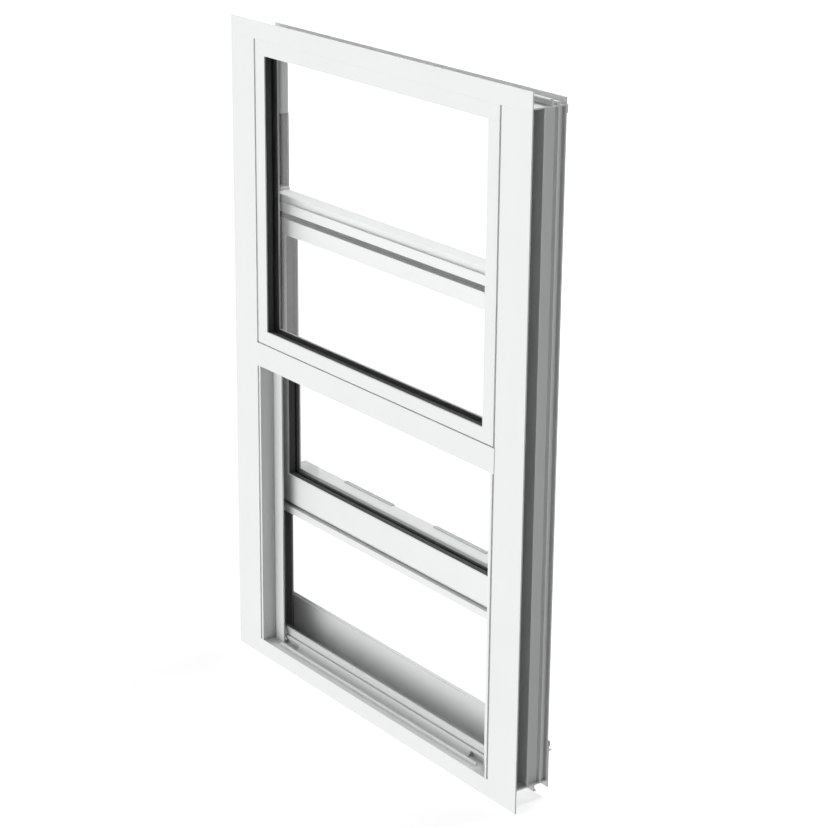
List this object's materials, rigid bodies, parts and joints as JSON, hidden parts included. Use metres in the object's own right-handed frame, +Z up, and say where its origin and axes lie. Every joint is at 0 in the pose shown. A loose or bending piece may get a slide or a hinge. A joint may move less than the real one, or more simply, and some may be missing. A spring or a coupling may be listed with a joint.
{
  "type": "single hung window",
  "caption": "White aluminium single hung window with an outside flange, a fixed upper lite and a lower sash that slides up in the jamb tracks.",
  "frame": {"origin": "middle of the sill flange's bearing strip, on the wall plane", "axes": "+X to the right seen from outside, +Y into the wall and the room, +Z up"},
  "size_m": [0.69, 0.0861, 0.975],
  "materials": {
    "white_frame": "white baked enamel, satin",
    "glass": "clear",
    "black_seal": "matt",
    "grey_plastic": "moulded, matt",
    "dark_plastic": "extruded, matt"
  },
  "bodies": {
    "frame": {"head": "white_frame", "sill": "white_frame", "left_jamb": "white_frame", "right_jamb": "white_frame", "meeting_rail": "white_frame", "meeting_rail_seal": "black_seal", "top_bead": "white_frame", "bottom_bead": "white_frame", "left_bead": "white_frame", "right_bead": "white_frame", "fixed_glass": "glass", "fixed_top_seal": "black_seal", "fixed_bottom_seal": "black_seal", "fixed_left_seal": "black_seal", "fixed_right_seal": "black_seal", "left_sash_stop": "grey_plastic", "right_sash_stop": "grey_plastic", "left_balance": "dark_plastic", "right_balance": "dark_plastic"},
    "sash": {"sash_top_rail": "white_frame", "sash_rail_seal": "black_seal", "sash_bottom_rail": "white_frame", "sash_left_stile": "white_frame", "sash_right_stile": "white_frame", "sash_glass": "glass", "sash_top_seal": "black_seal", "sash_bottom_seal": "black_seal", "sash_left_seal": "black_seal", "sash_right_seal": "black_seal", "left_finger_lift": "grey_plastic", "right_finger_lift": "grey_plastic", "left_sash_guide": "grey_plastic", "right_sash_guide": "grey_plastic"}
  },
  "joints": [
    {"name": "sash_slide", "type": "slide", "parent": "frame", "child": "sash", "axis": [0, 0, 1], "range_m": [-0.2035, 0.1]}
  ]
}
